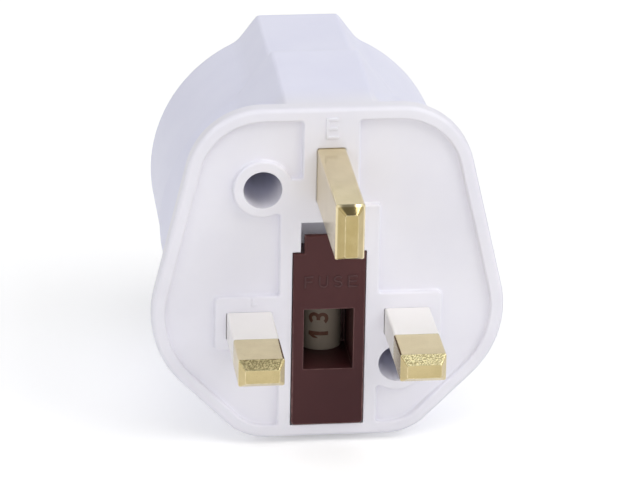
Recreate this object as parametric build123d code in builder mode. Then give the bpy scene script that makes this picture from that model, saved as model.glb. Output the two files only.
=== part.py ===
"""Plug adapter: a fused three-pin plug on the wall side, a round two-pin socket with earth clips behind.

X runs to the right as seen from the pins, Y runs from the wall into the room and Z runs up.
The origin lies on the plug face, half way between the line pin and the neutral pin.
"""
import os
from math import asin, atan2, cos, hypot, radians, sin

from build123d import *

# Plug pins (mm)
pin_spacing = 22.23
earth_offset = 22.23
blade_width = 6.35
blade_thickness = 3.97
blade_length = 17.7
blade_tip_length = 1.5
earth_width = 3.97
earth_height = 7.95
earth_length = 22.7
earth_tip_length = 1.8
blade_tip_insets = (0.8, 1.0)
earth_tip_insets = (1.1, 0.9)
pin_corner = 0.3
sleeve_length = 9.3
sleeve_wall = 0.7
collar_overhang = 0.8
collar_front = 4.5
collar_thickness = 1.5
tail_radius = 1.5
tail_head_radius = 2.3
tail_head_thickness = 0.6
pin_clearance = 0.08

# Plug face and its flange
top_corner_half = 17.95
side_corner_half = 26.3
side_corner_height = -2.8
bottom_corner_half = 11.8
top_corner_radius = 10.8
side_corner_radius = 14.5
bottom_corner_radius = 8.0
flange_thickness = 2.4
flange_edge_radius = 0.7
flange_rear_radius = 0.3
rim_width = 1.9
face_recess = 0.9
land_edge_radius = 0.3
land_foot_radius = 0.25
land_joint_radius = 0.4
land_joint_reach = 7.5
rib_half_width = 3.95
land_half_width = 7.0
land_margin = 2.35
land_corner = 0.8
blade_land_half = 16.0
blade_land_top = 4.3
blade_land_bottom = -3.7
bridge_top = 21.7
bridge_bottom = 17.0
bridge_overlap = 0.6

# Screws that hold the two mouldings together
screw_upper = (-9.45, 20.25)
screw_lower = (9.9, -6.45)
boss_radius = 4.15
boss_rear = 17.0
screw_hole_radius = 2.7
screw_seat = 15.5
screw_head_radius = 2.45
screw_head_thickness = 1.6
screw_shank_radius = 1.45
screw_shank_length = 7.5
screw_end_gap = 0.5
screw_clearance = 0.1
cross_width = 0.8
cross_length = 2.8
cross_depth = 0.9

# Fuse and fuse carrier
fuse_length = 25.4
fuse_radius = 3.175
fuse_cap_length = 6.0
fuse_tube_radius = 2.95
fuse_depth = 9.3
fuse_centre = -2.325
fuse_end_gap = 0.375
carrier_width = 10.2
carrier_proud = 0.3
carrier_corner = 0.6
carrier_edge = 0.25
carrier_clearance = 0.1
carrier_sill = 1.65
tab_width = 7.1
tab_height = 2.65
tab_rear = 0.4
pry_gap = 1.85
pocket_width = 8.1
pocket_floor = 3.4
window_width = 7.0
window_bottom = -6.8
window_top = 2.3
carrier_slab_rear = 6.0
jaw_reach = 1.3
jaw_clearance = 0.06
jaw_margin = 0.8
well_wall = 1.0
well_floor_thickness = 1.25
well_side_bottom = -10.6

# Contact strip
strip_thickness = 0.5
clip_width = 4.4
clip_gap = 0.1
clip_arm_height = 5.0
clip_lip = 0.6

# Front shell behind the flange, which widens to the rear as a finger grip
socket_axis = 7.35
shell_rear = 21.0
shell_front_radius = 20.7
shell_rear_radius = 21.95
shell_wall = 1.7
tube_radius = 3.6

# Round socket behind the front shell
body_rear = 43.5
body_front_radius = 21.65
body_rear_radius = 21.45
rear_edge_radius = 0.8
mouth_chamfer = 0.6
recess_radius = 19.55
recess_depth = 17.5
socket_floor_thickness = 2.0
socket_pin_spacing = 19.0
socket_hole_radius = 2.75
socket_pin_radius = 2.4
guide_rib_width = 4.6
guide_rib_height = 1.7
guide_rib_setback = 2.5
spigot_length = 2.5
spigot_wall = 1.4
spigot_clearance = 0.1
post_radius = 2.5

# Ridges above and below, over the earth clips
ridge_half_rear = 5.9
ridge_half_step = 6.15
ridge_half_front = 6.2
ridge_ramp_rise = 1.25
ridge_step_drop = 2.15
ridge_toe_front = 18.8
ridge_toe_step = 22.3
ridge_toe_body = 28.6
ridge_root = 0.3
ridge_corner = 0.8
ridge_blend = 4.0
ridge_roof = 1.55
ridge_cavity_half = 4.9
face_margin = 0.35
channel_half = 3.4
channel_overlap = 0.5
channel_clearance = 0.75
channel_end_wall = 2.0

# Socket contacts and earth strap
contact_wall = 0.55
contact_grip = 0.02
contact_front_gap = 1.5
contact_slit = 0.8
contact_slit_length = 6.5
spring_thickness = 0.4
spring_width = 1.6
spring_setback = 1.2
spring_gap = 1.4
strap_width = 5.5
strap_thickness = 0.7
strap_depth = 21.3
strap_run = 20.4
strap_rear = 38.5
earth_clip_reach = 16.2
strap_bend = 1.2

# Worked-out places
socket_floor = body_rear - recess_depth
cavity_rear = socket_floor - socket_floor_thickness
fuse_bottom = fuse_centre - fuse_length / 2
fuse_top = fuse_centre + fuse_length / 2
carrier_bottom = fuse_bottom - fuse_end_gap
carrier_top = fuse_top + fuse_end_gap
tab_top = carrier_top + tab_height
pocket_top = tab_top + pry_gap
land_top = max(pocket_top + land_margin, bridge_bottom + bridge_overlap)
ridge_front_top = 2 * socket_axis - carrier_bottom + carrier_sill
ridge_step_top = ridge_front_top + ridge_ramp_rise
ridge_rear_top = ridge_step_top - ridge_step_drop
ridge_cavity_top = ridge_front_top - ridge_roof
face_top = ridge_front_top + face_margin
face_bottom = 2 * socket_axis - face_top
collar_rear = collar_front + collar_thickness
root_depth = (face_recess + flange_thickness) / 2
clip_base = fuse_depth + fuse_radius + clip_gap
strip_rear = clip_base + strip_thickness
well_half = carrier_width / 2 + carrier_clearance
well_outer = well_half + well_wall
well_top = carrier_top + carrier_clearance
blade_x = {"line": -pin_spacing / 2, "neutral": pin_spacing / 2}
contact_x = {"line": -socket_pin_spacing / 2, "neutral": socket_pin_spacing / 2}
contact_radius = socket_pin_radius + contact_grip
contact_outer = contact_radius + contact_wall
contact_rear = cavity_rear - contact_front_gap
blade_core_width = blade_width - 2 * sleeve_wall
blade_core_thickness = blade_thickness - 2 * sleeve_wall
body_line = Axis((0, 0, socket_axis), (0, 1, 0))

os.makedirs("parts", exist_ok=True)


def facing_wall(depth):
    """Sketch plane at a depth behind the plug face; a negative extrusion goes to the rear."""
    return Plane(origin=(0, depth, 0), x_dir=(1, 0, 0), z_dir=(0, -1, 0))


def slab(half_width, bottom, top, front, rear, mode=Mode.ADD):
    """Block centred on the middle plane, between two heights and two depths."""
    with Locations((0, (front + rear) / 2, (bottom + top) / 2)):
        Box(2 * half_width, rear - front, top - bottom, mode=mode)


def save(builder, name):
    """Label a finished piece and write it as its own file."""
    builder.part.label = name
    export_step(builder.part, f"parts/{name}.step")


def face_outline():
    """Rounded six-sided outline of the plug face."""
    with BuildSketch() as outline:
        Polygon(
            (-top_corner_half, face_top), (-side_corner_half, side_corner_height),
            (-bottom_corner_half, face_bottom), (bottom_corner_half, face_bottom),
            (side_corner_half, side_corner_height), (top_corner_half, face_top), align=None,
        )
        corners = outline.vertices().group_by(Axis.Y)
        fillet(corners[0], radius=bottom_corner_radius)
        corners = outline.vertices().group_by(Axis.Y)
        fillet(corners[-1], radius=top_corner_radius)
        widest = outline.vertices().sort_by_distance((side_corner_half, side_corner_height))[0]
        fillet(widest, radius=side_corner_radius)
        widest = outline.vertices().sort_by_distance((-side_corner_half, side_corner_height))[0]
        fillet(widest, radius=side_corner_radius)
    return outline.sketch


def face_lands():
    """Raised lands inside the rim: centre rib, fuse land, blade lands and screw bosses."""
    with BuildSketch() as lands:
        with Locations((0, face_top - rim_width)):
            Rectangle(2 * rib_half_width, face_top, align=(Align.CENTER, Align.MAX))
        with Locations((0, land_top)):
            Rectangle(2 * land_half_width, land_top - face_bottom, align=(Align.CENTER, Align.MAX))
        with Locations((0, (blade_land_top + blade_land_bottom) / 2)):
            RectangleRounded(2 * blade_land_half, blade_land_top - blade_land_bottom, land_corner)
        with Locations((screw_upper[0], bridge_bottom)):
            Rectangle(-screw_upper[0], bridge_top - bridge_bottom, align=(Align.MIN, Align.MIN))
        with Locations(screw_upper, screw_lower):
            Circle(boss_radius)
    return lands.sketch


def blade_section(width, thickness, clearance=0.0):
    """Rounded rectangular section of a pin or of the slot round it."""
    return RectangleRounded(width + 2 * clearance, thickness + 2 * clearance, pin_corner)


def pointed_pin(x, z, size, insets, length, tip_length, root):
    """Bare pin from its chamfered tip to its root, with the chamfer as a loft of two sections."""
    with BuildSketch(facing_wall(-length)) as tip:
        with Locations((x, z)):
            RectangleRounded(size[0] - 2 * insets[0], size[1] - 2 * insets[1], pin_corner)
    with BuildSketch(facing_wall(tip_length - length)) as shoulder:
        with Locations((x, z)):
            blade_section(*size)
    loft([tip.sketch, shoulder.sketch])
    extrude(shoulder.sketch, amount=-(length - tip_length + root))


def shell_radius(depth):
    """Outer radius of the front shell at a depth."""
    share = (depth - flange_thickness) / (shell_rear - flange_thickness)
    return shell_front_radius + share * (shell_rear_radius - shell_front_radius)


def tapered_round(front, front_radius, rear, rear_radius, mode=Mode.ADD):
    """Solid of revolution about the socket's axis, with one radius at each end."""
    with BuildSketch(Plane.YZ) as half:
        Polygon((front, socket_axis), (rear, socket_axis), (rear, socket_axis + rear_radius),
                (front, socket_axis + front_radius), align=None)
    revolve(half.sketch, axis=body_line, mode=mode)


def ridge_section(depth, half_width, top, round_radius, toe_angle):
    """Rounded trapezoid of a ridge at one depth, with flanks that meet the round at the toe angle.

    The flank's foot comes from the triangle between the socket's axis, the foot and the ridge's corner.
    """
    corner_reach = hypot(half_width, top - socket_axis)
    corner_angle = asin(round_radius * cos(radians(toe_angle)) / corner_reach)
    foot_angle = atan2(half_width, top - socket_axis) + radians(90 - toe_angle) - corner_angle
    foot_half = round_radius * sin(foot_angle)
    foot = socket_axis + round_radius * cos(foot_angle)
    root_half = foot_half + ridge_root * (foot_half - half_width)
    root = foot - ridge_root * (top - foot)
    with BuildSketch(facing_wall(depth)) as section:
        Polygon((-root_half, root), (root_half, root), (half_width, top), (-half_width, top), align=None)
        fillet(section.vertices().group_by(Axis.Y)[-1], radius=ridge_corner)
    return section.sketch


def blend_ridge_feet(builder, front, rear):
    """Soft hollow along both feet of each ridge, between two depths."""
    feet = [edge for edge in builder.edges()
            if front < edge.center().Y < rear and abs(edge.center().X) > ridge_half_front + ridge_corner]
    fillet(feet, radius=ridge_blend)


def make_front_housing():
    """Front moulding: flange with the plug face, flared shell, fuse well, pin seats and screw tubes."""
    seats = [
        (blade_x["line"], 0, blade_width, blade_thickness),
        (blade_x["neutral"], 0, blade_width, blade_thickness),
        (0, earth_offset, earth_width, earth_height),
    ]
    with BuildPart() as front:
        # Flared shell with its ridges, hollowed from the rear
        tapered_round(flange_thickness, shell_front_radius, shell_rear, shell_rear_radius)
        loft([ridge_section(shell_rear, ridge_half_step, ridge_step_top, shell_rear_radius, ridge_toe_step),
              ridge_section(flange_thickness, ridge_half_front, ridge_front_top, shell_front_radius,
                            ridge_toe_front)])
        mirror(about=Plane.XY.offset(socket_axis))
        blend_ridge_feet(front, flange_thickness, shell_rear)
        tapered_round(flange_thickness, shell_front_radius - shell_wall,
                      shell_rear, shell_rear_radius - shell_wall, mode=Mode.SUBTRACT)
        with BuildSketch(facing_wall(flange_thickness)):
            with Locations((0, socket_axis)):
                Rectangle(2 * ridge_cavity_half, 2 * (ridge_cavity_top - socket_axis))
        extrude(amount=-(shell_rear - flange_thickness), mode=Mode.SUBTRACT)

        # Flange with a rounded front edge and a face sunk round its lands
        with BuildSketch(facing_wall(0)):
            add(face_outline())
        extrude(amount=-flange_thickness)
        fillet(front.faces().sort_by(Axis.Y)[0].edges(), radius=flange_edge_radius)
        rear_face = front.faces().filter_by(Axis.Y).sort_by(Axis.Y)[1]
        fillet(rear_face.outer_wire().edges(), radius=flange_rear_radius)
        with BuildSketch(facing_wall(0)):
            add(face_outline())
            offset(amount=-rim_width, mode=Mode.REPLACE)
            add(face_lands(), mode=Mode.SUBTRACT)
        extrude(amount=-face_recess, mode=Mode.SUBTRACT)
        joints = [edge for edge in front.edges().filter_by(Axis.Y)
                  if edge.center().Y < face_recess and abs(edge.center().X) < land_joint_reach]
        fillet(joints, radius=land_joint_radius)
        face = front.faces().sort_by(Axis.Y)[0]
        fillet([edge for wire in face.inner_wires() for edge in wire.edges()], radius=land_edge_radius)
        floors = front.faces().filter_by(Axis.Y).filter_by_position(
            Axis.Y, face_recess - land_edge_radius, face_recess + land_edge_radius)
        fillet([edge for floor in floors for edge in floor.outer_wire().edges()], radius=land_foot_radius)

        # Fuse well behind the flange: side walls, top wall, floor and pry pocket
        slab(well_outer, well_side_bottom, well_top + well_wall, root_depth,
             strip_rear + well_floor_thickness)
        slab(well_half, carrier_bottom, well_top, strip_rear, strip_rear + well_floor_thickness)
        slab(pocket_width / 2 + well_wall, well_top, pocket_top + well_wall, root_depth,
             pocket_floor + well_wall)

        # Seats for the pins and tubes for the screws
        for x, z, width, height in seats:
            with Locations((x, (root_depth + collar_rear) / 2, z)):
                Box(width + 2 * (collar_overhang + pin_clearance) + well_wall, collar_rear - root_depth,
                    height + 2 * (collar_overhang + pin_clearance) + well_wall)
        with BuildSketch(facing_wall(root_depth)):
            with Locations(screw_upper, screw_lower):
                Circle(tube_radius)
        extrude(amount=-(boss_rear - root_depth))

        # Hollows: fuse well, pry pocket, pin slots, collar pockets and screw holes
        slab(well_half, carrier_bottom - carrier_clearance, well_top, -carrier_proud, strip_rear,
             mode=Mode.SUBTRACT)
        slab(pocket_width / 2, carrier_top, pocket_top, -carrier_proud, pocket_floor, mode=Mode.SUBTRACT)
        for arm_height in (fuse_top - fuse_cap_length / 2, 0):
            with Locations((-well_half, clip_base + strip_thickness / 2, arm_height)):
                Box(4 * well_wall, strip_thickness + 2 * clip_gap, clip_width + 4 * clip_gap,
                    mode=Mode.SUBTRACT)
        for x, z, width, height in seats:
            with BuildSketch(facing_wall(0)):
                with Locations((x, z)):
                    blade_section(width, height, pin_clearance)
            extrude(amount=-collar_rear, mode=Mode.SUBTRACT)
            with BuildSketch(facing_wall(collar_front)):
                with Locations((x, z)):
                    blade_section(width, height, collar_overhang + pin_clearance)
            extrude(amount=-collar_thickness, mode=Mode.SUBTRACT)
        with BuildSketch(facing_wall(0)):
            with Locations(screw_upper, screw_lower):
                Circle(screw_hole_radius)
        extrude(amount=-screw_seat, mode=Mode.SUBTRACT)
        with BuildSketch(facing_wall(screw_seat)):
            with Locations(screw_upper, screw_lower):
                Circle(screw_shank_radius + screw_clearance)
        extrude(amount=-(boss_rear - screw_seat), mode=Mode.SUBTRACT)
    return front


def make_rear_housing():
    """Rear moulding: round body with ridges, socket recess, spigot and screw posts."""
    spigot_front = shell_rear - spigot_length
    spigot_radius = shell_radius(spigot_front) - shell_wall - spigot_clearance
    hollow_radius = spigot_radius - spigot_wall
    with BuildPart() as housing:
        tapered_round(shell_rear, body_front_radius, body_rear, body_rear_radius)
        loft([ridge_section(body_rear, ridge_half_rear, ridge_rear_top, body_rear_radius, ridge_toe_body),
              ridge_section(shell_rear, ridge_half_step, ridge_rear_top, body_front_radius,
                            ridge_toe_body)])
        mirror(about=Plane.XY.offset(socket_axis))
        blend_ridge_feet(housing, shell_rear, body_rear)
        fillet(housing.faces().sort_by(Axis.Y)[-1].edges(), radius=rear_edge_radius)
        with BuildSketch(facing_wall(spigot_front)):
            with Locations((0, socket_axis)):
                Circle(spigot_radius)
        extrude(amount=-spigot_length)

        # Front hollow, socket recess with its guide ribs, and pin holes
        with BuildSketch(facing_wall(spigot_front)):
            with Locations((0, socket_axis)):
                Circle(hollow_radius)
        extrude(amount=-(cavity_rear - spigot_front), mode=Mode.SUBTRACT)
        with BuildSketch(facing_wall(socket_floor)):
            with Locations((0, socket_axis)):
                Circle(recess_radius)
        extrude(amount=-recess_depth, mode=Mode.SUBTRACT)
        mouth = housing.faces().sort_by(Axis.Y)[-1].inner_wires()[0]
        chamfer(mouth.edges(), length=mouth_chamfer)
        rib_length = recess_depth - guide_rib_setback
        rib_reach = recess_radius - guide_rib_height / 2
        with Locations((rib_reach, socket_floor + rib_length / 2, socket_axis),
                       (-rib_reach, socket_floor + rib_length / 2, socket_axis)):
            Box(guide_rib_height, rib_length, guide_rib_width)
        with BuildSketch(facing_wall(cavity_rear)):
            with Locations((contact_x["line"], socket_axis), (contact_x["neutral"], socket_axis)):
                Circle(socket_hole_radius)
        extrude(amount=-socket_floor_thickness, mode=Mode.SUBTRACT)

        # Channels for the earth clips and posts for the screws
        channel_rear = body_rear - channel_end_wall
        channel_outer = strap_run + strap_thickness / 2 + channel_clearance
        channel_inner = min(hollow_radius, recess_radius) - channel_overlap
        for side in (1, -1):
            channel_middle = socket_axis + side * (channel_inner + channel_outer) / 2
            with Locations((0, (spigot_front + channel_rear) / 2, channel_middle)):
                Box(2 * channel_half, channel_rear - spigot_front, channel_outer - channel_inner,
                    mode=Mode.SUBTRACT)
        with BuildSketch(facing_wall(boss_rear)):
            with Locations(screw_upper, screw_lower):
                Circle(post_radius)
        extrude(amount=-(cavity_rear - boss_rear))
        with BuildSketch(facing_wall(boss_rear)):
            with Locations(screw_upper, screw_lower):
                Circle(screw_shank_radius)
        extrude(amount=-(screw_seat + screw_shank_length + screw_end_gap - boss_rear), mode=Mode.SUBTRACT)
    return housing


def make_blade(x):
    """Flat brass pin: bare tip, core under the sleeve, collar and riveted tail."""
    with BuildPart() as blade:
        pointed_pin(x, 0, (blade_width, blade_thickness), blade_tip_insets,
                    blade_length, blade_tip_length, -sleeve_length)
        with BuildSketch(facing_wall(-sleeve_length)):
            with Locations((x, 0)):
                Rectangle(blade_core_width, blade_core_thickness)
        extrude(amount=-(sleeve_length + collar_front))
        with BuildSketch(facing_wall(collar_front)):
            with Locations((x, 0)):
                blade_section(blade_width, blade_thickness, collar_overhang)
        extrude(amount=-collar_thickness)
        add_riveted_tail(x, 0, strip_rear)
    return blade


def add_riveted_tail(x, z, strip_back):
    """Round tail from the collar through a strip, with its riveted head behind the strip."""
    stretches = [(tail_radius, collar_rear, strip_back - collar_rear),
                 (tail_head_radius, strip_back, tail_head_thickness)]
    for radius, start, length in stretches:
        with Locations(Location((x, start + length / 2, z), (90, 0, 0))):
            Cylinder(radius, length)


def make_sleeve(x):
    """Insulating sleeve round the root of a flat pin, flush with the bare tip."""
    with BuildPart() as sleeve:
        with BuildSketch(facing_wall(-sleeve_length)):
            with Locations((x, 0)):
                blade_section(blade_width, blade_thickness)
                Rectangle(blade_core_width, blade_core_thickness, mode=Mode.SUBTRACT)
        extrude(amount=-(sleeve_length + collar_front))
    return sleeve


def make_earth_pin():
    """Solid brass earth pin, longer than the others, with a collar and a tail to the earth strap."""
    with BuildPart() as pin:
        pointed_pin(0, earth_offset, (earth_width, earth_height), earth_tip_insets,
                    earth_length, earth_tip_length, collar_front)
        with BuildSketch(facing_wall(collar_front)):
            with Locations((0, earth_offset)):
                blade_section(earth_width, earth_height, collar_overhang)
        extrude(amount=-collar_thickness)
        add_riveted_tail(0, earth_offset, strap_depth + strap_thickness)
    return pin


def make_fuse_carrier():
    """Pull-out carrier: slab with a window, pry tab and two jaws that hold the fuse."""
    jaw_bottom = fuse_bottom + fuse_cap_length + jaw_margin
    jaw_top = fuse_top - fuse_cap_length - jaw_margin
    with BuildPart() as carrier:
        slab(carrier_width / 2, carrier_bottom, carrier_top, -carrier_proud, carrier_slab_rear)
        slab(tab_width / 2, carrier_top, tab_top, -carrier_proud, tab_rear)
        fillet(carrier.edges().filter_by(Axis.Y).group_by(Axis.Z)[0], radius=carrier_corner)
        fillet(carrier.faces().sort_by(Axis.Y)[0].edges(), radius=carrier_edge)
        slab(carrier_width / 2, jaw_bottom, jaw_top, carrier_slab_rear, fuse_depth + jaw_reach)
        with Locations(Location((0, fuse_depth, fuse_centre))):
            Cylinder(fuse_tube_radius + jaw_clearance, jaw_top - jaw_bottom, mode=Mode.SUBTRACT)
        slab(fuse_tube_radius - jaw_clearance, jaw_bottom, jaw_top, fuse_depth, fuse_depth + 2 * jaw_reach,
             mode=Mode.SUBTRACT)
        slab(window_width / 2, window_bottom, window_top, -2 * carrier_proud, fuse_depth,
             mode=Mode.SUBTRACT)
    return carrier


def make_fuse_cap(bottom, top):
    """Metal end cap of the fuse, open towards the tube."""
    with BuildPart() as cap:
        with Locations((0, fuse_depth, (bottom + top) / 2)):
            Cylinder(fuse_radius, top - bottom)
        fillet(cap.edges(), radius=clip_gap)
        with Locations((0, fuse_depth, fuse_centre)):
            Cylinder(fuse_tube_radius, fuse_length - fuse_cap_length / 2, mode=Mode.SUBTRACT)
    return cap


def make_fuse_tube():
    """Ceramic tube of the fuse between its two caps."""
    with BuildPart() as tube:
        with Locations((0, fuse_depth, fuse_centre)):
            Cylinder(fuse_tube_radius, fuse_length - fuse_cap_length / 2)
    return tube


def clip_profile():
    """U-shaped spring clip section, open towards the wall, with flared lips."""
    arm = fuse_radius + clip_gap + strip_thickness / 2
    middle = clip_base + strip_thickness / 2
    with BuildLine() as path:
        FilletPolyline(
            (-arm - clip_lip, middle - clip_arm_height - clip_lip), (-arm, middle - clip_arm_height),
            (-arm, middle), (arm, middle), (arm, middle - clip_arm_height),
            (arm + clip_lip, middle - clip_arm_height - clip_lip), radius=strip_thickness / 2 + clip_gap,
        )
    return path.line


def make_upper_clip():
    """Upper fuse clip, with an arm that ends in a ring under the line contact."""
    middle = fuse_top - fuse_cap_length / 2
    with BuildPart() as clip:
        with BuildSketch(Plane.XY.offset(middle - clip_width / 2)):
            trace(clip_profile(), line_width=strip_thickness)
        extrude(amount=clip_width)
        with BuildSketch(facing_wall(clip_base)):
            with Locations((0, middle)):
                Rectangle(-contact_x["line"], clip_width, align=(Align.MAX, Align.CENTER))
            with Locations((contact_x["line"], socket_axis)):
                Circle(contact_outer)
                Circle(contact_radius, mode=Mode.SUBTRACT)
        extrude(amount=-strip_thickness)
    return clip


def make_lower_clip():
    """Lower fuse clip; its strip runs up behind the fuse and out to the tail of the line pin."""
    middle = fuse_bottom + fuse_cap_length / 2
    with BuildPart() as clip:
        with BuildSketch(Plane.XY.offset(middle - clip_width / 2)):
            trace(clip_profile(), line_width=strip_thickness)
        extrude(amount=clip_width)
        with BuildSketch(facing_wall(clip_base)):
            with Locations((0, clip_width / 2)):
                Rectangle(clip_width, clip_width / 2 - middle, align=(Align.CENTER, Align.MAX))
            Rectangle(-blade_x["line"], clip_width, align=(Align.MAX, Align.CENTER))
            with Locations((blade_x["line"], 0)):
                Circle(clip_width / 2)
                Circle(tail_radius, mode=Mode.SUBTRACT)
        extrude(amount=-strip_thickness)
    return clip


def make_neutral_link():
    """Strip from the tail of the neutral pin to a ring under the neutral contact."""
    with BuildPart() as link:
        with BuildSketch(facing_wall(clip_base)):
            with BuildLine():
                Line((blade_x["neutral"], 0), (contact_x["neutral"], socket_axis))
            trace(line_width=clip_width)
            with Locations((blade_x["neutral"], 0)):
                Circle(clip_width / 2)
                Circle(tail_radius, mode=Mode.SUBTRACT)
            with Locations((contact_x["neutral"], socket_axis)):
                Circle(contact_outer)
                Circle(contact_radius, mode=Mode.SUBTRACT)
        extrude(amount=-strip_thickness)
    return link


def make_contact(x):
    """Slit tube that grips one round pin of the plug that goes into the socket."""
    with BuildPart() as contact:
        with BuildSketch(facing_wall(strip_rear)):
            with Locations((x, socket_axis)):
                Circle(contact_outer)
                Circle(contact_radius, mode=Mode.SUBTRACT)
        extrude(amount=-(contact_rear - strip_rear))
        with Locations((x, contact_rear - contact_slit_length / 2, socket_axis)):
            Box(contact_slit, contact_slit_length, 3 * contact_outer, mode=Mode.SUBTRACT)
    return contact


def make_contact_spring(x):
    """Steel ring with a gap that squeezes the slit end of a contact."""
    with BuildPart() as spring:
        with BuildSketch(facing_wall(contact_rear - spring_setback - spring_width)):
            with Locations((x, socket_axis)):
                Circle(contact_outer + spring_thickness)
                Circle(contact_outer, mode=Mode.SUBTRACT)
            with Locations((x, socket_axis + contact_outer)):
                Rectangle(spring_gap, 2 * contact_wall, mode=Mode.SUBTRACT)
        extrude(amount=-spring_width)
    return spring


def make_earth_strap():
    """Bent earth strap with a spring clip at the top and the bottom of the recess."""
    clip_tip = (socket_floor + strap_rear) / 2
    upper = socket_axis + strap_run
    lower = socket_axis - strap_run
    middle = strap_depth + strap_thickness / 2
    lead = strap_width / 2
    with BuildPart() as strap:
        with BuildSketch(Plane.YZ):
            with BuildLine() as path:
                FilletPolyline(
                    (strap_rear, lower), (clip_tip, socket_axis - earth_clip_reach),
                    (socket_floor + lead, lower), (middle, lower), (middle, upper),
                    (socket_floor + lead, upper), (clip_tip, socket_axis + earth_clip_reach),
                    (strap_rear, upper), radius=strap_bend,
                )
            trace(path.line, line_width=strap_thickness)
        extrude(amount=strap_width / 2, both=True)
        with Locations(Location((0, middle, earth_offset), (90, 0, 0))):
            Cylinder(tail_radius, 2 * strap_thickness, mode=Mode.SUBTRACT)
    return strap


def make_screws():
    """Two cross-head screws that draw the rear moulding onto the flange."""
    with BuildPart() as screws:
        with BuildSketch(facing_wall(screw_seat - screw_head_thickness)):
            with Locations(screw_upper, screw_lower):
                Circle(screw_head_radius)
        extrude(amount=-screw_head_thickness)
        with BuildSketch(facing_wall(screw_seat - screw_head_thickness)):
            with Locations(screw_upper, screw_lower):
                Rectangle(cross_length, cross_width)
                Rectangle(cross_width, cross_length)
        extrude(amount=-cross_depth, mode=Mode.SUBTRACT)
        with BuildSketch(facing_wall(screw_seat)):
            with Locations(screw_upper, screw_lower):
                Circle(screw_shank_radius)
        extrude(amount=-screw_shank_length)
    return screws


save(make_front_housing(), "front_housing")
save(make_rear_housing(), "rear_housing")
save(make_earth_pin(), "earth_pin")
save(make_fuse_carrier(), "fuse_carrier")
save(make_fuse_tube(), "fuse_tube")
save(make_fuse_cap(fuse_top - fuse_cap_length, fuse_top), "fuse_cap_upper")
save(make_fuse_cap(fuse_bottom, fuse_bottom + fuse_cap_length), "fuse_cap_lower")
save(make_upper_clip(), "fuse_clip_upper")
save(make_lower_clip(), "fuse_clip_lower")
save(make_neutral_link(), "neutral_link")
save(make_earth_strap(), "earth_strap")
save(make_screws(), "housing_screws")
for pole in ("line", "neutral"):
    save(make_blade(blade_x[pole]), f"{pole}_pin")
    save(make_sleeve(blade_x[pole]), f"{pole}_pin_sleeve")
    save(make_contact(contact_x[pole]), f"{pole}_contact")
    save(make_contact_spring(contact_x[pole]), f"{pole}_contact_spring")
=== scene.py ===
import math

import bmesh
import bpy
from mathutils import Matrix, Vector


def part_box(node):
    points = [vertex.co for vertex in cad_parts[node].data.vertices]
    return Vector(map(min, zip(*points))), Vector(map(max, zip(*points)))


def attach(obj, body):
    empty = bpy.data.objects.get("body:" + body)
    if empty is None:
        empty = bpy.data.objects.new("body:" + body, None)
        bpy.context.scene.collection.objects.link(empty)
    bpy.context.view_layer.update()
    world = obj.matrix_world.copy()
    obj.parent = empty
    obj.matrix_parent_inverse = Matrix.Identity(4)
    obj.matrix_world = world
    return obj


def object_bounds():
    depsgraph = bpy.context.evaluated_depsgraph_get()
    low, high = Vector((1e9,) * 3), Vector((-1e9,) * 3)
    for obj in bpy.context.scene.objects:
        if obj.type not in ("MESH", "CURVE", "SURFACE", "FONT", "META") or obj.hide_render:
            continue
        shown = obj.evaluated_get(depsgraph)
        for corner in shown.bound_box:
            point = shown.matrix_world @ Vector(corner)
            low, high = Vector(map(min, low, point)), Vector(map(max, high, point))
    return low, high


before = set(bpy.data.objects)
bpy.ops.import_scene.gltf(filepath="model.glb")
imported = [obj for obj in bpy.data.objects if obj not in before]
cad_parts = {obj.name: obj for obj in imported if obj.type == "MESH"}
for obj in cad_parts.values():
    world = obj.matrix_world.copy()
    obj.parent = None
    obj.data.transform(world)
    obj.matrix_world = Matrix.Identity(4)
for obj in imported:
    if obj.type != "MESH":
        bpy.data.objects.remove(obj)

cad_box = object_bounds()
MM = 0.001


# Small helpers for shader nodes

def place(tree, kind, sockets=None, **settings):
    """Adds a shader node. sockets maps an input to a plain value or to the output that feeds it."""
    node = tree.nodes.new("ShaderNode" + kind)
    for name, value in settings.items():
        setattr(node, name, value)
    for key, value in (sockets or {}).items():
        if isinstance(value, bpy.types.NodeSocket):
            tree.links.new(value, node.inputs[key])
        else:
            node.inputs[key].default_value = value
    return node


def calc(tree, operation, first, second=0.0, third=0.0, clamp=False):
    """One step of arithmetic."""
    return place(tree, "Math", {0: first, 1: second, 2: third}, operation=operation,
                 use_clamp=clamp).outputs[0]


def times(tree, first, second):
    return calc(tree, "MULTIPLY", first, second)


def dot(tree, first, second):
    return place(tree, "VectorMath", {0: first, 1: second}, operation="DOT_PRODUCT").outputs["Value"]


def fade(tree, value, low, high, start=0.0, end=1.0):
    """A smooth step of value from start at low to end at high."""
    return place(tree, "MapRange", {"Value": value, "From Min": low, "From Max": high, "To Min": start,
                                    "To Max": end}, interpolation_type="SMOOTHSTEP").outputs[0]


def tint(tree, amount, first, second):
    """A colour mix: first where amount is 0, second where it is 1."""
    return place(tree, "Mix", {0: amount, 6: first, 7: second}, data_type="RGBA").outputs[2]


def millimetres(tree):
    """The place on the part in millimetres, which rides along with the piece."""
    place_in_metres = place(tree, "TexCoord").outputs["Object"]
    return place(tree, "VectorMath", {0: place_in_metres, "Scale": 1.0 / MM}, operation="SCALE").outputs[0]


def noise(tree, where, scale, detail=2.0, roughness=0.5):
    return place(tree, "TexNoise", {"Vector": where, "Scale": scale, "Detail": detail,
                                    "Roughness": roughness}).outputs[0]


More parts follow.
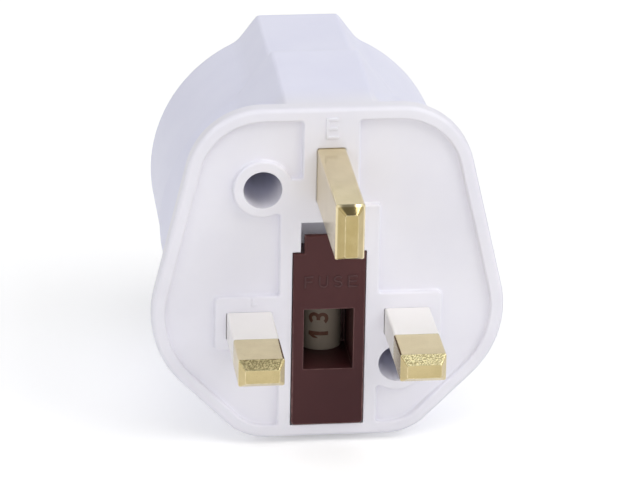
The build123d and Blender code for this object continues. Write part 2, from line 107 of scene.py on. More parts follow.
def start_group(name, inputs, outputs):
    """A new shared effect, with the sockets that it reads and the ones that it fills."""
    group = bpy.data.node_groups.new(name, "ShaderNodeTree")
    for label, value in inputs.items():
        socket = group.interface.new_socket(label, in_out="INPUT", socket_type="NodeSocketFloat")
        socket.default_value = value
    for label, kind in outputs.items():
        group.interface.new_socket(label, in_out="OUTPUT", socket_type="NodeSocket" + kind)
    return group, group.nodes.new("NodeGroupInput").outputs, group.nodes.new("NodeGroupOutput").inputs


# Effects that several finishes share. A SPREAD is where a fade starts and where it ends.

RAYS = 6
CLOUD_SPREAD, CLOUD_HEIGHT = (0.3, 0.7), 1.5


def make_moulded_skin():
    """Slow shifts of tone from the moulding, fine grain of the mould's surface, and the height of both."""
    group, given, result = start_group(
        "moulded_skin", {"Cloud Scale": 0.08, "Grain Scale": 7.0},
        {"Cloud": "Float", "Grain": "Float", "Height": "Float"})
    where = millimetres(group)
    cloud = fade(group, noise(group, where, given["Cloud Scale"], detail=3.0, roughness=0.55), *CLOUD_SPREAD)
    grain = noise(group, where, given["Grain Scale"], detail=3.0, roughness=0.6)
    group.links.new(cloud, result["Cloud"])
    group.links.new(grain, result["Grain"])
    group.links.new(calc(group, "MULTIPLY_ADD", cloud, CLOUD_HEIGHT, grain), result["Height"])
    return group


NO_TURN = 0.995
ROUND_FRONT_SPREAD, ROUND_SIDE_SPREAD = (-0.998, -0.95), (0.0, -0.3)
BREAKUP_SPREAD, LEAST_EDGE_MARK = (0.3, 0.62), 0.25


def make_worn_and_highlit_edges():
    """A broken line along sharp edges, painted lighter for part wear and part painted highlight, and a normal
    that rounds them slightly. Front Rounds adds the edges of the front that are rounded in the solid, as
    painted highlight."""
    group, given, result = start_group(
        "worn_and_highlit_edges", {"Width": 0.25 * MM, "Rounding": 0.12 * MM, "Breakup Scale": 0.9, "Full Turn": 0.86,
                       "Front Rounds": 0.0}, {"Edge": "Float", "Soft Normal": "Vector"})
    plain = place(group, "NewGeometry").outputs["Normal"]
    wide = place(group, "Bevel", {"Radius": given["Width"]}, samples=RAYS).outputs[0]
    soft = place(group, "Bevel", {"Radius": given["Rounding"]}, samples=RAYS).outputs[0]
    sharp = fade(group, dot(group, plain, wide), NO_TURN, given["Full Turn"])
    facing = place(group, "SeparateXYZ", {0: plain}).outputs["Y"]
    rounded = times(group, fade(group, facing, *ROUND_FRONT_SPREAD), fade(group, facing, *ROUND_SIDE_SPREAD))
    line = calc(group, "MAXIMUM", sharp, times(group, rounded, given["Front Rounds"]))
    patches = noise(group, millimetres(group), given["Breakup Scale"], detail=4.0, roughness=0.65)
    broken = fade(group, patches, *BREAKUP_SPREAD, start=LEAST_EDGE_MARK)
    group.links.new(times(group, line, broken), result["Edge"])
    group.links.new(soft, result["Soft Normal"])
    return group


OPENNESS_SPREAD = 0.75, 0.15


def make_corner_shade_and_tarnish():
    """How deep a spot lies in a corner or a gap. The plastics paint shade there with it, and the metals
    tarnish.
    """
    group, given, result = start_group("corner_shade_and_tarnish", {"Reach": 2.0 * MM}, {"Shelter": "Float"})
    openness = place(group, "AmbientOcclusion", {"Distance": given["Reach"]}, samples=RAYS).outputs["AO"]
    group.links.new(fade(group, openness, *OPENNESS_SPREAD), result["Shelter"])
    return group


DRAWN_STRETCH = 1.0, 0.06, 1.0
BLOTCH_SPREAD = 0.35, 0.68
PIT_SCALE, PIT_SPREAD = 3.2, (0.71, 0.78)


def make_drawn_marks():
    """Fine lines along the pins' length, blotches of tarnish, small pits, and their height."""
    group, given, result = start_group(
        "drawn_marks", {"Line Scale": 9.0, "Blotch Scale": 0.35},
        {"Line": "Float", "Blotch": "Float", "Pit": "Float", "Height": "Float"})
    where = millimetres(group)
    drawn = place(group, "VectorMath", {0: where, 1: DRAWN_STRETCH}, operation="MULTIPLY").outputs[0]
    line = noise(group, drawn, given["Line Scale"], detail=4.0, roughness=0.6)
    blotch = fade(group, noise(group, where, given["Blotch Scale"], detail=4.0, roughness=0.6), *BLOTCH_SPREAD)
    pit = fade(group, noise(group, where, PIT_SCALE), *PIT_SPREAD)
    group.links.new(line, result["Line"])
    group.links.new(blotch, result["Blotch"])
    group.links.new(pit, result["Pit"])
    group.links.new(calc(group, "SUBTRACT", line, pit), result["Height"])
    return group


def make_along_part():
    """A change along one axis of the part: 0 before Start and 1 after End, in millimetres."""
    group, given, result = start_group(
        "along_part", {"Axis X": 0.0, "Axis Y": 0.0, "Axis Z": 0.0, "Start": 0.0, "End": 1.0},
        {"Amount": "Float"})
    axis = place(group, "CombineXYZ", {name: given["Axis " + name] for name in "XYZ"}).outputs[0]
    along = dot(group, millimetres(group), axis)
    group.links.new(fade(group, along, given["Start"], given["End"]), result["Amount"])
    return group


STEEP_BLEND, FLAT_BLEND = 0.2, 0.05
TIP_FRONT_SPREAD = -0.1, -0.2


def make_tip_slope():
    """1 on the sloped upper side of a pin's tip, and 0 on its flat sides."""
    group, given, result = start_group(
        "tip_slope", {"Steepest": 0.35, "Flattest": 0.98}, {"Slope": "Float"})
    facing = place(group, "SeparateXYZ", {0: place(group, "NewGeometry").outputs["True Normal"]}).outputs
    steep = fade(group, facing["Z"], given["Steepest"], calc(group, "ADD", given["Steepest"], STEEP_BLEND))
    flat = fade(group, facing["Z"], given["Flattest"], calc(group, "SUBTRACT", given["Flattest"], FLAT_BLEND))
    front = fade(group, facing["Y"], *TIP_FRONT_SPREAD)
    group.links.new(times(group, times(group, steep, flat), front), result["Slope"])
    return group


MOULDED_SKIN, WORN_AND_HIGHLIT_EDGES = make_moulded_skin(), make_worn_and_highlit_edges()
CORNER_SHADE_AND_TARNISH, DRAWN_MARKS = make_corner_shade_and_tarnish(), make_drawn_marks()
ALONG_PART, TIP_SLOPE = make_along_part(), make_tip_slope()


# Finishes

def start_finish(name):
    finish = bpy.data.materials.new(name)
    finish.use_nodes = True
    return finish, finish.node_tree, finish.node_tree.nodes["Principled BSDF"].inputs


def use(tree, group, **values):
    """Places a shared effect with its own values, such as Cloud_Scale for the input Cloud Scale."""
    return place(tree, "Group", {key.replace("_", " "): value for key, value in values.items()},
                 node_tree=group).outputs


def connect(tree, shader, **feeds):
    for key, source in feeds.items():
        tree.links.new(source, shader[key.replace("_", " ")])


def bump(tree, height, normal, distance, strength=1.0):
    return place(tree, "Bump", {"Height": height, "Normal": normal, "Strength": strength,
                                "Distance": distance}).outputs[0]


PLASTIC_REACH = 2.5 * MM
GRAIN_SHINE, GRAIN_SHINE_LOW, GRAIN_BUMP = 0.16, 0.06, 0.35
EDGE_POLISH = 0.10


def moulded_plastic(name, deep, pale, corner_shade_tone, edge, gloss=0.5, rough=0.36, grain_depth=0.010 * MM, corner_shade_mix=0.45,
                    wear_and_highlight_mix=0.6, edge_line_width=0.25 * MM, edge_line_turn=0.86, drift=None, highlight_front_rounds=False):
    """Injection moulded plastic: two tones that drift, painted shade in corners and gaps, and edges painted
    lighter, part wear and part painted highlight, that are slightly polished too. drift names an axis, the
    span along it in millimetres over which the tones change, and the two tones at its end. With the option for
    the front's rounded edges, these get a painted highlight too, less towards the drift's end."""
    finish, tree, shader = start_finish(name)
    skin = use(tree, MOULDED_SKIN)
    hidden = use(tree, CORNER_SHADE_AND_TARNISH, Reach=PLASTIC_REACH)["Shelter"]
    colour = tint(tree, skin["Cloud"], deep, pale)
    front_rounds = 0.0
    if drift:
        axis, start, end, *tones = drift
        along = use(tree, ALONG_PART, **{axis: 1.0}, Start=start, End=end)["Amount"]
        colour = tint(tree, along, colour, tint(tree, skin["Cloud"], *tones))
        # Painted highlight on the front's rounded edges, fading out along the drift.
        if highlight_front_rounds:
            front_rounds = calc(tree, "SUBTRACT", 1.0, along)
    worn_and_highlit = use(tree, WORN_AND_HIGHLIT_EDGES, Width=edge_line_width, Full_Turn=edge_line_turn, Front_Rounds=front_rounds)
    # Painted shade: corners, gaps and recesses get the darker corner tone, which stands in for the shade
    # there.
    colour = tint(tree, times(tree, hidden, corner_shade_mix), colour, corner_shade_tone)
    # Edges painted lighter: part wear and part painted highlight.
    colour = tint(tree, times(tree, worn_and_highlit["Edge"], wear_and_highlight_mix), colour, edge)
    shine = calc(tree, "MULTIPLY_ADD", skin["Grain"], GRAIN_SHINE, rough - GRAIN_SHINE_LOW)
    shine = calc(tree, "SUBTRACT", shine, times(tree, worn_and_highlit["Edge"], EDGE_POLISH), clamp=True)
    shader["Specular IOR Level"].default_value = gloss
    connect(tree, shader, Base_Color=colour, Roughness=shine,
            Normal=bump(tree, skin["Height"], worn_and_highlit["Soft Normal"], grain_depth, GRAIN_BUMP))
    return finish


METAL_REACH, METAL_EDGE, METAL_ROUNDING, METAL_TURN = 1.2 * MM, 0.22 * MM, 0.2 * MM, 0.93
CORNER_TARNISH, PIT_TARNISH, EDGE_HIGHLIGHT_AND_WEAR = 0.5, 0.35, 0.75
LINE_SHINE, LINE_SHINE_LOW, LINE_BUMP, LINE_DEPTH = 0.10, 0.05, 0.06, 0.004 * MM
TIP_BLEND = 0.15


def drawn_metal(name, deep, pale, tarnish, edge, rough, tip=None, tip_shape=None):
    """Metal strip or bar: drawn lines, blotches, tarnished corners, and edges painted bright, part wear and
    part painted highlight. tip is where a pin's tip starts and its two deeper tones. tip_shape adds the finish
    of the tip's upper slope."""
    finish, tree, shader = start_finish(name)
    marks = use(tree, DRAWN_MARKS)
    worn_and_highlit = use(tree, WORN_AND_HIGHLIT_EDGES, Width=METAL_EDGE, Rounding=METAL_ROUNDING, Full_Turn=METAL_TURN)
    hidden = use(tree, CORNER_SHADE_AND_TARNISH, Reach=METAL_REACH)["Shelter"]
    colour = tint(tree, marks["Blotch"], deep, pale)
    if tip:
        start, *tones = tip
        along = use(tree, ALONG_PART, Axis_Y=1.0, Start=start + TIP_BLEND, End=start - TIP_BLEND)["Amount"]
        colour = tint(tree, along, colour, tint(tree, marks["Blotch"], *tones))
    colour = tint(tree, times(tree, hidden, CORNER_TARNISH), colour, tarnish)
    colour = tint(tree, times(tree, marks["Pit"], PIT_TARNISH), colour, tarnish)
    # Edges painted brighter: part wear and part painted highlight.
    colour = tint(tree, times(tree, worn_and_highlit["Edge"], EDGE_HIGHLIGHT_AND_WEAR), colour, edge)
    shine = calc(tree, "MULTIPLY_ADD", marks["Line"], LINE_SHINE, rough - LINE_SHINE_LOW)
    normal = bump(tree, marks["Height"], worn_and_highlit["Soft Normal"], LINE_DEPTH, LINE_BUMP)
    if tip_shape:
        colour, shine, normal = tip_shape(tree, colour, shine, normal)
    shader["Metallic"].default_value = 1.0
    connect(tree, shader, Base_Color=colour, Roughness=shine, Normal=normal)
    return finish


# Where the pins' tips start along Y, in millimetres
BLADE_TIP, EARTH_TIP = -16.25, -21.3
TIP_GRAIN_SCALE, TIP_GRAIN_SPREAD, TIP_GRAIN_DEPTH = 5.3, (0.38, 0.64), 0.02 * MM
LINE_TIP = (0.36, 0.295, 0.145, 1), (0.80, 0.71, 0.42, 1)
NEUTRAL_TIP_PAINTED_BRIGHTER = (0.50, 0.42, 0.21, 1), (1.0, 0.93, 0.60, 1)
BETWEEN_BLADES = 5.0
TIP_ROUGHNESS = 0.5


def grained_tip(tree, colour, shine, normal):
    """The upper slope of a flat pin's tip is matt, with the dull and bright grain of the press. The neutral
    pin's is painted brighter, for the light from the right that falls on it."""
    slope = use(tree, TIP_SLOPE)["Slope"]
    # Painted light: tones brighter on the right, where the neutral pin stands.
    lit_from_right = use(tree, ALONG_PART, Axis_X=1.0, Start=-BETWEEN_BLADES, End=BETWEEN_BLADES)["Amount"]
    grain = fade(tree, noise(tree, millimetres(tree), TIP_GRAIN_SCALE, detail=1.0), *TIP_GRAIN_SPREAD)
    pressed = tint(tree, lit_from_right, tint(tree, grain, *LINE_TIP), tint(tree, grain, *NEUTRAL_TIP_PAINTED_BRIGHTER))
    colour = tint(tree, slope, colour, pressed)
    shine = calc(tree, "MAXIMUM", shine, times(tree, slope, TIP_ROUGHNESS))
    return colour, shine, bump(tree, times(tree, grain, slope), normal, TIP_GRAIN_DEPTH)


CROWN_HALF, CROWN_DEPTH = 2.0, 0.14 * MM


def crowned_tip(tree, colour, shine, normal):
    """The upper slope of the earth pin's tip is crowned from side to side."""
    across = place(tree, "SeparateXYZ", {0: millimetres(tree)}).outputs["X"]
    crown = calc(tree, "SUBTRACT", CROWN_HALF ** 2, times(tree, across, across))
    return colour, shine, bump(tree, times(tree, crown, use(tree, TIP_SLOPE)["Slope"]), normal, CROWN_DEPTH)


# The body behind the flange is painted bluer, standing in for the bluish light on it.
WHITE = moulded_plastic(
    "white_plastic", (0.825, 0.815, 0.89, 1), (0.855, 0.845, 0.91, 1), (0.70, 0.69, 0.77, 1),
    (0.88, 0.875, 0.94, 1), rough=0.40,
    drift=("Axis_Y", 1.0, 9.0, (0.79, 0.795, 0.945, 1), (0.82, 0.825, 0.965, 1)))
SLEEVE = moulded_plastic(
    "sleeve_plastic", (0.90, 0.875, 0.86, 1), (0.93, 0.91, 0.895, 1), (0.80, 0.775, 0.76, 1),
    (0.95, 0.935, 0.92, 1), rough=0.38)
# Painted shade: the carrier's corners, gaps and window go nearly black. Its rounded front edges get a painted
# highlight that fades out upwards, and it is lighter towards the top.
MAROON = moulded_plastic(
    "maroon_plastic", (0.051, 0.0140, 0.0160, 1), (0.058, 0.0175, 0.0190, 1), (0.010, 0.005, 0.004, 1),
    (0.20, 0.108, 0.105, 1), gloss=0.2, rough=0.34, corner_shade_mix=0.85, wear_and_highlight_mix=0.95, edge_line_width=0.28 * MM, edge_line_turn=0.9,
    drift=("Axis_Z", -12.0, 10.0, (0.068, 0.0215, 0.0225, 1), (0.076, 0.026, 0.027, 1)), highlight_front_rounds=True)
# The raised letters are painted lighter than the carrier, a painted highlight on their strokes.
HIGHLIT_MARK_MAROON = moulded_plastic(
    "highlit_mark_maroon", (0.072, 0.028, 0.030, 1), (0.080, 0.032, 0.034, 1), (0.030, 0.011, 0.011, 1),
    (0.19, 0.105, 0.105, 1), gloss=0.3, rough=0.34, wear_and_highlight_mix=0.8, edge_line_width=0.1 * MM)
BRASS = drawn_metal(
    "pin_brass", (0.77, 0.66, 0.41, 1), (0.83, 0.715, 0.455, 1), (0.30, 0.21, 0.09, 1), (0.90, 0.82, 0.56, 1),
    0.20, tip=(EARTH_TIP, (0.44, 0.345, 0.155, 1), (0.49, 0.39, 0.19, 1)), tip_shape=crowned_tip)
BLADE_BRASS = drawn_metal(
    "blade_brass", (0.785, 0.68, 0.41, 1), (0.845, 0.74, 0.455, 1), (0.30, 0.21, 0.09, 1),
    (0.90, 0.82, 0.56, 1), 0.24, tip=(BLADE_TIP, (0.53, 0.43, 0.22, 1), (0.58, 0.475, 0.25, 1)),
    tip_shape=grained_tip)
CONTACT_BRASS = drawn_metal(
    "contact_brass", (0.66, 0.53, 0.27, 1), (0.74, 0.62, 0.35, 1), (0.32, 0.22, 0.11, 1),
    (0.88, 0.78, 0.50, 1), 0.34)
# The fuse's ceramic is painted dark brown-grey, standing in for the shade inside the carrier's window.
SHADED_CERAMIC = moulded_plastic(
    "fuse_ceramic", (0.30, 0.25, 0.20, 1), (0.37, 0.32, 0.265, 1), (0.17, 0.14, 0.11, 1),
    (0.48, 0.43, 0.37, 1), gloss=0.3, rough=0.6, grain_depth=0.02 * MM)
CAP = drawn_metal(
    "cap_metal", (0.66, 0.66, 0.65, 1), (0.74, 0.74, 0.72, 1), (0.35, 0.34, 0.32, 1), (0.86, 0.86, 0.85, 1),
    0.24)
SPRING = drawn_metal(
    "spring_steel", (0.50, 0.50, 0.51, 1), (0.60, 0.60, 0.60, 1), (0.26, 0.25, 0.25, 1),
    (0.75, 0.75, 0.75, 1), 0.30)
SCREW = drawn_metal(
    "screw_steel", (0.55, 0.54, 0.51, 1), (0.64, 0.63, 0.58, 1), (0.24, 0.23, 0.21, 1), (0.78, 0.77, 0.73, 1),
    0.32)
PRINT = moulded_plastic(
    "fuse_print", (0.13, 0.055, 0.035, 1), (0.19, 0.085, 0.05, 1), (0.08, 0.035, 0.02, 1),
    (0.24, 0.12, 0.08, 1), gloss=0.3, rough=0.5)


def paint(finish, *names):
    for name in names:
        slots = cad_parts[name].data.materials
        slots.clear()
        slots.append(finish)


paint(WHITE, "front_housing", "rear_housing")
paint(SLEEVE, "line_pin_sleeve", "neutral_pin_sleeve")
paint(MAROON, "fuse_carrier")
paint(BRASS, "earth_pin")
paint(BLADE_BRASS, "line_pin", "neutral_pin")
paint(CONTACT_BRASS, "fuse_clip_upper", "fuse_clip_lower", "neutral_link", "line_contact", "neutral_contact",
      "earth_strap")
paint(SHADED_CERAMIC, "fuse_tube")
paint(CAP, "fuse_cap_upper", "fuse_cap_lower")
paint(SPRING, "line_contact_spring", "neutral_contact_spring")
paint(SCREW, "housing_screws")


# Marks: letter outlines in a box one unit high, wide units across, drawn with a pen of one width

def arc(centre, radii, start, end, steps=14):
    turns = [math.radians(start + (end - start) * i / steps) for i in range(steps + 1)]
    return [(centre[0] + radii[0] * math.cos(t), centre[1] + radii[1] * math.sin(t)) for t in turns]


def ribbon(path, width):
    """The outline of a stroke of one width along a path."""
    points = [Vector(p) for p in path]
    left, right = [], []
    for i, point in enumerate(points):
        run = (points[min(i + 1, len(points) - 1)] - points[max(i - 1, 0)]).normalized()
        side = Vector((-run.y, run.x)) * width / 2
        left.append(tuple(point + side))
        right.append(tuple(point - side))
    return left[::-1] + right


def letter_e(wide, pen):
    low, high, middle = 0.5 - pen / 2, 0.5 + pen / 2, wide * 0.9
    return [[(0, 0), (wide, 0), (wide, pen), (pen, pen), (pen, low), (middle, low), (middle, high),
             (pen, high), (pen, 1 - pen), (wide, 1 - pen), (wide, 1), (0, 1)]]


def letter_f(wide, pen):
    low, high, middle = 0.52 - pen / 2, 0.52 + pen / 2, wide * 0.88
    return [[(0, 0), (pen, 0), (pen, low), (middle, low), (middle, high), (pen, high), (pen, 1 - pen),
             (wide, 1 - pen), (wide, 1), (0, 1)]]


def letter_l(wide, pen):
    return [[(0, 0), (wide, 0), (wide, pen), (pen, pen), (pen, 1), (0, 1)]]


def letter_u(wide, pen):
    radius = (wide - pen) / 2
    bend = arc((wide / 2, pen / 2 + radius), (radius, radius), 180, 360)
    return [ribbon([(pen / 2, 1), *bend, (wide - pen / 2, 1)], pen)]


def letter_s(wide, pen):
    radii = ((wide - pen) / 2, (1 - pen) / 4)
    upper = arc((wide / 2, 1 - pen / 2 - radii[1]), radii, 25, 270)
    lower = arc((wide / 2, pen / 2 + radii[1]), radii, 90, -155)
    return [ribbon(upper + lower[1:], pen)]


def digit_one(wide, pen):
    stem = (wide - pen) / 2
    return [[(stem, 0), (stem + pen, 0), (stem + pen, 1), (stem, 1), (0, 1 - pen * 1.3), (0, 1 - pen * 2.5),
             (stem, 1 - pen * 1.4)]]


def digit_three(wide, pen):
    middle, radius = wide / 2, (1 + pen) / 4
    waist = math.degrees(math.asin((1 - pen) / (1 + pen)))
    upper, lower = (middle, 1 - radius), (middle, radius)
    outer, inner = (middle, radius), (middle - pen, radius - pen)
    return [[*arc(upper, outer, 150, -waist), *arc(lower, outer, waist, -150), *arc(lower, inner, -150, 90),
             (wide * 0.35, (1 - pen) / 2), (wide * 0.35, (1 + pen) / 2), *arc(upper, inner, -90, 150)]]


def letter_a(wide, pen):
    low, high, lean = 0.2, 0.2 + pen, (wide - pen) / 2
    outer = [(0, 0), (pen, 0), (pen + lean * low, low), (wide - pen - lean * low, low), (wide - pen, 0),
             (wide, 0), (wide - lean, 1), (lean, 1)]
    hole = [(pen + lean * high, high), (wide / 2, (wide / 2 - pen) / lean), (wide - pen - lean * high, high)]
    return [outer, hole]


def outline_mesh(name, glyphs, height, pitch, depth=0.0, edge=0.0):
    """A row of letters, centred, as a mesh in its own plane. depth is how far they stand up on each side, and
    edge is the radius of their rounded edges."""
    curve = bpy.data.curves.new(name, "CURVE")
    curve.dimensions, curve.fill_mode = "2D", "BOTH" if depth else "FRONT"
    curve.extrude, curve.bevel_depth, curve.bevel_resolution, curve.offset = depth - edge, edge, 2, -edge
    for i, (glyph, wide, pen) in enumerate(glyphs):
        start = (i - (len(glyphs) - 1) / 2) * pitch - wide * height / 2
        for outline in glyph(wide, pen):
            spline = curve.splines.new("POLY")
            spline.points.add(len(outline) - 1)
            for point, (x, y) in zip(spline.points, outline):
                point.co = (start + x * height, (y - 0.5) * height, 0, 1)
            spline.use_cyclic_u = True
    drawing = bpy.data.objects.new(name, curve)
    bpy.context.scene.collection.objects.link(drawing)
    mesh = bpy.data.meshes.new_from_object(drawing.evaluated_get(bpy.context.evaluated_depsgraph_get()))
    bpy.data.objects.remove(drawing)
    return mesh


def finish_piece(name, mesh, finish, body):
    mesh.materials.clear()
    mesh.materials.append(finish)
    piece = bpy.data.objects.new(name, mesh)
    bpy.context.scene.collection.objects.link(piece)
    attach(piece, body)


# Turns a drawing to face the wall socket
TO_WALL = Matrix(((1, 0, 0, 0), (0, 0, -1, 0), (0, 1, 0, 0), (0, 0, 0, 1)))


def raised_mark(name, glyphs, height, pitch, centre, stand, edge, finish, body):
    """Letters that stand up from a surface that faces the wall socket."""
    mesh = outline_mesh(name, glyphs, height, pitch, stand, edge)
    mesh.transform(Matrix.Translation(Vector(centre)) @ TO_WALL)
    finish_piece(name, mesh, finish, body)


CARRIER_FACE = -0.3 * MM
FUSE_PEN = 0.12
FUSE = [(letter_f, 0.7, FUSE_PEN), (letter_u, 0.74, FUSE_PEN), (letter_s, 0.72, FUSE_PEN),
        (letter_e, 0.74, FUSE_PEN)]
raised_mark("earth_mark", [(letter_e, 0.58, 0.15)], height=3.1 * MM, pitch=0,
            centre=(0.05 * MM, 0, 29.12 * MM), stand=0.17 * MM, edge=0.12 * MM,
            finish=WHITE, body="housing")
raised_mark("line_mark", [(letter_l, 0.62, 0.2)], height=1.3 * MM, pitch=0,
            centre=(-10.45 * MM, 0, 3.55 * MM), stand=0.15 * MM, edge=0.09 * MM,
            finish=WHITE, body="housing")
raised_mark("fuse_mark", FUSE, height=1.75 * MM, pitch=2.05 * MM,
            centre=(0.2 * MM, CARRIER_FACE, 6.45 * MM), stand=0.13 * MM, edge=0.06 * MM,
            finish=HIGHLIT_MARK_MAROON, body="carrier")


RATING = [(digit_one, 0.5, 0.2), (digit_three, 0.62, 0.18), (letter_a, 0.66, 0.18)]
RATING_HEIGHT, RATING_PITCH = 2.9 * MM, 2.3 * MM
RATING_TURN, RATING_DOWN = math.radians(12), 2.0 * MM
INK_TOP, INK_THICK, INK_STEP, INK_WELD = 0.012 * MM, 0.01 * MM, 0.25 * MM, 0.001 * MM
INK_CUTS = 4


def fuse_print():
    """The rating, printed along the fuse's tube on the side that the window shows."""
    low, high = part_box("fuse_tube")
    centre, radius = (low + high) / 2, (high.x - low.x) / 2 + INK_TOP
    mesh = outline_mesh("fuse_print", RATING, RATING_HEIGHT, RATING_PITCH)
    build = bmesh.new()
    build.from_mesh(mesh)
    bmesh.ops.remove_doubles(build, verts=build.verts[:], dist=INK_WELD)
    bmesh.ops.triangulate(build, faces=build.faces[:])
    for _ in range(INK_CUTS):
        long_edges = [edge for edge in build.edges if edge.calc_length() > INK_STEP]
        if long_edges:
            bmesh.ops.subdivide_edges(build, edges=long_edges, cuts=1)
            bmesh.ops.triangulate(build, faces=build.faces[:])
    for vertex in build.verts:
        turn = -vertex.co.y / radius - RATING_TURN
        vertex.co = Vector((radius * math.sin(turn), centre.y - radius * math.cos(turn),
                            vertex.co.x - RATING_DOWN))
    build.normal_update()
    bmesh.ops.solidify(build, geom=build.faces[:], thickness=INK_THICK)
    build.to_mesh(mesh)
    build.free()
    finish_piece("fuse_print", mesh, PRINT, "carrier")


fuse_print()


# Flash of the moulding, which closes the clearance round the pins just behind the face

FLASH_OUT, FLASH_IN, FLASH_REAR = 0.12 * MM, 0.15 * MM, 0.5 * MM
SLEEVE_FLASH_FRONT, EARTH_FLASH_FRONT = 0.04 * MM, 0.1 * MM
TOP, RIGHT, BOTTOM, LEFT = range(4)
EARTH_WIDTH, EARTH_HEIGHT, EARTH_UP = 3.97 * MM, 7.95 * MM, 22.23 * MM


def frame_corners(low, high, out):
    """Corners of a rectangle, clockwise from the upper left, moved outwards."""
    left, right, bottom, top = low.x - out, high.x + out, low.z - out, high.z + out
    return [(left, top), (right, top), (right, bottom), (left, bottom)]


def moulding_flash(name, low, high, front, sides):
    """A lip on some sides of a pin whose root has these lowest and highest corners."""
    build = bmesh.new()
    inner, outer = ([build.verts.new((x, front, z)) for x, z in frame_corners(low, high, out)]
                    for out in (-FLASH_IN, FLASH_OUT))
    faces = [build.faces.new([inner[i], inner[(i + 1) % 4], outer[(i + 1) % 4], outer[i]]) for i in sides]
    grown = bmesh.ops.extrude_face_region(build, geom=faces)["geom"]
    bmesh.ops.translate(build, verts=[part for part in grown if isinstance(part, bmesh.types.BMVert)],
                        vec=(0, FLASH_REAR - front, 0))
    unused = [vertex for vertex in build.verts if not vertex.link_faces]
    bmesh.ops.delete(build, geom=unused, context="VERTS")
    bmesh.ops.recalc_face_normals(build, faces=build.faces[:])
    mesh = bpy.data.meshes.new(name)
    build.to_mesh(mesh)
    build.free()
    finish_piece(name, mesh, WHITE, "housing")


moulding_flash("line_flash", *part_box("line_pin_sleeve"), SLEEVE_FLASH_FRONT, (TOP, RIGHT, BOTTOM))
moulding_flash("neutral_flash", *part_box("neutral_pin_sleeve"), SLEEVE_FLASH_FRONT, (TOP, RIGHT, BOTTOM))
moulding_flash("earth_flash", Vector((-EARTH_WIDTH / 2, 0, EARTH_UP - EARTH_HEIGHT / 2)),
               Vector((EARTH_WIDTH / 2, 0, EARTH_UP + EARTH_HEIGHT / 2)), EARTH_FLASH_FRONT,
               (TOP, RIGHT, BOTTOM, LEFT))


# Studio

AZIMUTH, ELEVATION, ROLL = math.radians(-7.17), math.radians(22.16), math.radians(1.06)
LOOK_AT, DISTANCE = Vector((-1.40, 0.0, 12.62)) * MM, 0.5941
SENSOR_WIDTH, LENS = 36.0, 240.85
CLIP_START, CLIP_END = 0.01, 20.0


def add_camera():
    back = Vector((math.sin(AZIMUTH) * math.cos(ELEVATION),
                   -math.cos(AZIMUTH) * math.cos(ELEVATION), math.sin(ELEVATION)))
    level_right = (-back).cross(Vector((0, 0, 1))).normalized()
    level_up = level_right.cross(-back)
    right = math.cos(ROLL) * level_right + math.sin(ROLL) * level_up
    up = -math.sin(ROLL) * level_right + math.cos(ROLL) * level_up
    data = bpy.data.cameras.new("camera")
    data.sensor_width, data.lens = SENSOR_WIDTH, LENS
    data.clip_start, data.clip_end = CLIP_START, CLIP_END
    camera = bpy.data.objects.new("camera", data)
    camera.matrix_world = Matrix((
        (right.x, up.x, back.x, 0), (right.y, up.y, back.y, 0), (right.z, up.z, back.z, 0), (0, 0, 0, 1)))
    camera.location = LOOK_AT + back * DISTANCE
    bpy.context.scene.collection.objects.link(camera)
    bpy.context.scene.camera = camera


# Each lamp's place and size in metres, and its power in watts
SOFTBOXES = {
    "key_box": ((0.65, -0.4, 0.8), 0.6, 3.9),
    "top_box": ((0.0, -0.4, 0.95), 0.6, 2.2),
    "upper_left_box": ((-0.7, 0.1, 0.75), 0.6, 1.8),
    "front_left_box": ((-0.75, -0.75, 0.4), 0.6, 1.85),
    "front_right_box": ((0.75, -0.75, 0.4), 0.6, 1.0),
    "front_box": ((0.0, -1.0, 0.3), 0.6, 1.6),
    "back_box": ((0.2, 1.0, 0.25), 0.6, 3.4),
    "glint_box": ((0.62, 0.27, 0.99), 0.3, 1.6),
}
SEEN_IN_METAL, ONLY_IN_METAL = ("key_box", "glint_box"), "glint_box"


def add_softboxes():
    for name, (where, size, watts) in SOFTBOXES.items():
        light = bpy.data.lights.new(name, "AREA")
        light.energy, light.size = watts, size
        lamp = bpy.data.objects.new(name, light)
        lamp.location = where
        lamp.visible_glossy, lamp.visible_diffuse = name in SEEN_IN_METAL, name != ONLY_IN_METAL
        lamp.rotation_euler = Vector(where).to_track_quat("Z", "Y").to_euler()
        bpy.context.scene.collection.objects.link(lamp)


def seen_directly(tree):
    """The camera's rays, and those together with the rays from a mirror or through glass, which show the white
    background too."""
    path = place(tree, "LightPath").outputs
    mirror = calc(tree, "MAXIMUM", path["Is Glossy Ray"], path["Is Transmission Ray"])
    return path["Is Camera Ray"], calc(tree, "MAXIMUM", path["Is Camera Ray"], mirror)


AMBIENT, CEILING_SHADE = 0.2, 0.25
WALL_SPREAD, CEILING_SPREAD = (0.2, 0.55), (0.12, 0.92)


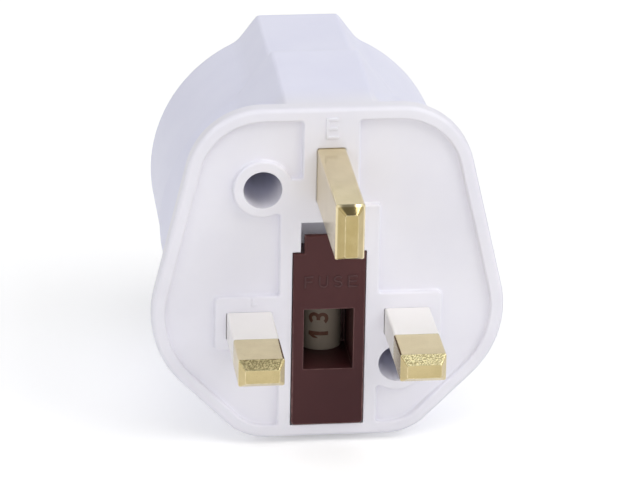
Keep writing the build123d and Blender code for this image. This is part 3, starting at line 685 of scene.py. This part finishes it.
def add_world():
    """A white room. Metal sees its walls white and its ceiling darker."""
    world = bpy.data.worlds.new("white_room")
    bpy.context.scene.world = world
    world.use_nodes = True
    tree = world.node_tree
    camera_ray, seen = seen_directly(tree)
    towards = place(tree, "SeparateXYZ", {0: place(tree, "TexCoord").outputs["Generated"]}).outputs
    walls = fade(tree, calc(tree, "ABSOLUTE", towards["X"]), *WALL_SPREAD)
    ceiling = fade(tree, towards["Z"], *CEILING_SPREAD, start=1.0, end=CEILING_SHADE)
    room = calc(tree, "MAXIMUM", camera_ray, calc(tree, "MAXIMUM", walls, ceiling))
    strength = place(tree, "MapRange", {"Value": seen, "To Min": AMBIENT, "To Max": room}).outputs[0]
    background = tree.nodes["Background"].inputs
    background["Color"].default_value = (1, 1, 1, 1)
    tree.links.new(strength, background["Strength"])


FLOOR_HALF = 3.0
FLOOR_TONES = (0.89, 0.89, 0.895, 1), (0.91, 0.91, 0.915, 1)
FLOOR_GRAIN_SCALE, FLOOR_ROUGHNESS, FLOOR_GLOW = 0.02, 0.9, 0.31


def add_floor():
    """White paper under the part. A glow, for the rays that see it directly, makes it as white as the room and
    keeps the shadow."""
    low = cad_box[0][2]
    corners = [(-FLOOR_HALF, -FLOOR_HALF), (FLOOR_HALF, -FLOOR_HALF), (FLOOR_HALF, FLOOR_HALF),
               (-FLOOR_HALF, FLOOR_HALF)]
    mesh = bpy.data.meshes.new("floor")
    mesh.from_pydata([(x, y, low) for x, y in corners], [], [(0, 1, 2, 3)])
    finish, tree, shader = start_finish("floor_paper")
    _, seen = seen_directly(tree)
    grain = noise(tree, millimetres(tree), FLOOR_GRAIN_SCALE)
    shader["Roughness"].default_value = FLOOR_ROUGHNESS
    shader["Specular IOR Level"].default_value = 0.0
    shader["Emission Color"].default_value = (1, 1, 1, 1)
    connect(tree, shader, Base_Color=tint(tree, grain, *FLOOR_TONES),
            Emission_Strength=times(tree, seen, FLOOR_GLOW))
    mesh.materials.append(finish)
    floor = bpy.data.objects.new("floor", mesh)
    bpy.context.scene.collection.objects.link(floor)


add_camera()
add_softboxes()
add_world()
add_floor()
bpy.context.scene.view_settings.view_transform = "Standard"
